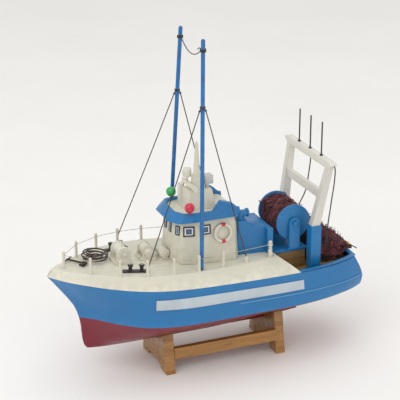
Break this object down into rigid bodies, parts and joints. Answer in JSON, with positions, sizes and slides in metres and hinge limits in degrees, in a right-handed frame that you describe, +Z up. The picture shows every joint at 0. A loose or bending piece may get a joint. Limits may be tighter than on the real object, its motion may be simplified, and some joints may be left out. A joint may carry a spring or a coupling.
{
  "type": "model fishing trawler",
  "caption": "Display model of a stern trawler with a whaleback foredeck, lift-off bridge house, outrigger booms, net drum and gallows, on a wooden stand",
  "frame": {"origin": "on the floor, under the middle of the overall length and breadth", "axes": "+X runs aft to the stern, +Y to starboard, +Z up"},
  "size_m": [0.5335, 0.1978, 0.5533],
  "materials": {
    "stand_wood": "varnished",
    "hull_blue": "satin paint",
    "hull_red": "satin paint",
    "cream_paint": "satin paint",
    "house_cream": "satin paint",
    "strake_blue": "satin paint",
    "board_grey": "matt",
    "deck_wood": "matt",
    "pale_wire": "dull",
    "black_fittings": "satin",
    "dark_iron": "dull",
    "dark_rope": "matt",
    "thread": "matt",
    "boom_blue": "painted",
    "window_black": "gloss",
    "window_white": "gloss",
    "ring_cream": "gloss",
    "ring_red": "gloss",
    "lamp_red": "gloss",
    "lamp_green": "gloss",
    "lamp_cream": "satin",
    "pipe_white": "satin",
    "box_grey": "satin",
    "gallows_white": "satin paint",
    "net_burgundy": "matt",
    "brass": "bright",
    "steel": "bright",
    "motor_can": "satin",
    "black_plastic": "matt",
    "white_plastic": "matt",
    "battery_green": "satin"
  },
  "bodies": {
    "stand": {"stand_end_boards": "stand_wood", "stand_rails": "stand_wood"},
    "house": {"house_walls": "house_cream", "house_windows": "window_black", "window_panes": "window_white", "visor": "hull_blue", "house_roof": "cream_paint", "life_rings": "ring_cream", "life_ring_bands": "ring_red", "lamp_port": "lamp_red", "lamp_starboard": "lamp_green", "roof_house": "house_cream", "mast": "cream_paint", "vent_pipe": "pipe_white", "roof_box": "box_grey"},
    "search_lamp": {"search_lamp": "lamp_cream"},
    "windlass_drum": {"windlass_drum": "lamp_cream"},
    "winch_barrel": {"winch_barrel": "cream_paint"},
    "net_drum": {"drum_spool": "hull_blue", "drum_net": "net_burgundy"},
    "propeller_shaft": {"propeller": "brass", "prop_shaft": "steel"},
    "rudder": {"rudder": "hull_red", "tiller": "black_plastic"},
    "servo_horn": {"servo_horn": "white_plastic"},
    "pushrod": {"pushrod": "steel"},
    "hull": {"hull_bottom": "hull_red", "hull_topsides": "hull_blue", "keel_skeg": "hull_red", "bulwark_cap": "hull_blue", "rubbing_strakes": "strake_blue", "side_boards": "board_grey", "whaleback_deck": "cream_paint", "working_deck": "deck_wood", "drum_platform": "hull_blue", "platform_sides": "deck_wood", "bow_rail_posts": "cream_paint", "rail_wires": "pale_wire", "bollards": "black_fittings", "anchor": "dark_iron", "anchor_rope": "dark_rope", "winch_frames": "cream_paint", "deck_tank": "cream_paint", "outrigger_booms": "boom_blue", "boom_stays": "thread", "boom_tip_line": "thread", "engine_casing": "hull_blue", "cowl_vent": "hull_blue", "drum_brackets": "hull_blue", "gallows_posts": "hull_blue", "gallows_frame": "gallows_white", "gallows_rods": "black_fittings", "gallows_fall": "dark_rope", "gallows_hanger": "dark_rope", "stern_net": "net_burgundy", "stern_tube": "brass", "motor": "motor_can", "steering_servo": "black_plastic", "battery_pack": "battery_green", "radio_receiver": "black_plastic"}
  },
  "joints": [
    {"name": "boat_lift", "type": "slide", "parent": "stand", "child": "hull", "axis": [0, 0, 1], "range_m": [0, 0.15]},
    {"name": "house_lift", "type": "slide", "parent": "hull", "child": "house", "axis": [0, 0, 1], "range_m": [0, 0.06]},
    {"name": "search_lamp_turn", "type": "hinge", "parent": "house", "child": "search_lamp", "pos_m": [-0.0245, 0.012, 0.32], "axis": [0, 0, 1], "range_deg": [-180, 180]},
    {"name": "windlass_turn", "type": "hinge", "parent": "hull", "child": "windlass_drum", "pos_m": [-0.145, -0.002, 0.20882], "axis": [0, 1, 0], "continuous": true},
    {"name": "winch_turn", "type": "hinge", "parent": "hull", "child": "winch_barrel", "pos_m": [-0.101, 0.003, 0.20367], "axis": [0, 1, 0], "continuous": true},
    {"name": "net_drum_turn", "type": "hinge", "parent": "hull", "child": "net_drum", "pos_m": [0.144, 0, 0.227], "axis": [0, 1, 0], "continuous": true},
    {"name": "propeller_turn", "type": "hinge", "parent": "hull", "child": "propeller_shaft", "pos_m": [0.2, 0, 0.069], "axis": [-0.9962, 0, 0.0872], "continuous": true},
    {"name": "rudder_turn", "type": "hinge", "parent": "hull", "child": "rudder", "pos_m": [0.229, 0, 0.126], "axis": [0, 0, 1], "range_deg": [-35, 35]},
    {"name": "servo_turn", "type": "hinge", "parent": "hull", "child": "servo_horn", "pos_m": [0.143, 0, 0.126], "axis": [0, 0, 1], "range_deg": [-35, 35]},
    {"name": "pushrod_swing", "type": "hinge", "parent": "servo_horn", "child": "pushrod", "pos_m": [0.143, 0.014, 0.13], "axis": [0, 0, 1], "range_deg": [-35, 35]}
  ],
  "couplings": [
    {"joint": "servo_turn", "follows": "rudder_turn", "ratio": 1},
    {"joint": "pushrod_swing", "follows": "rudder_turn", "ratio": -1}
  ]
}
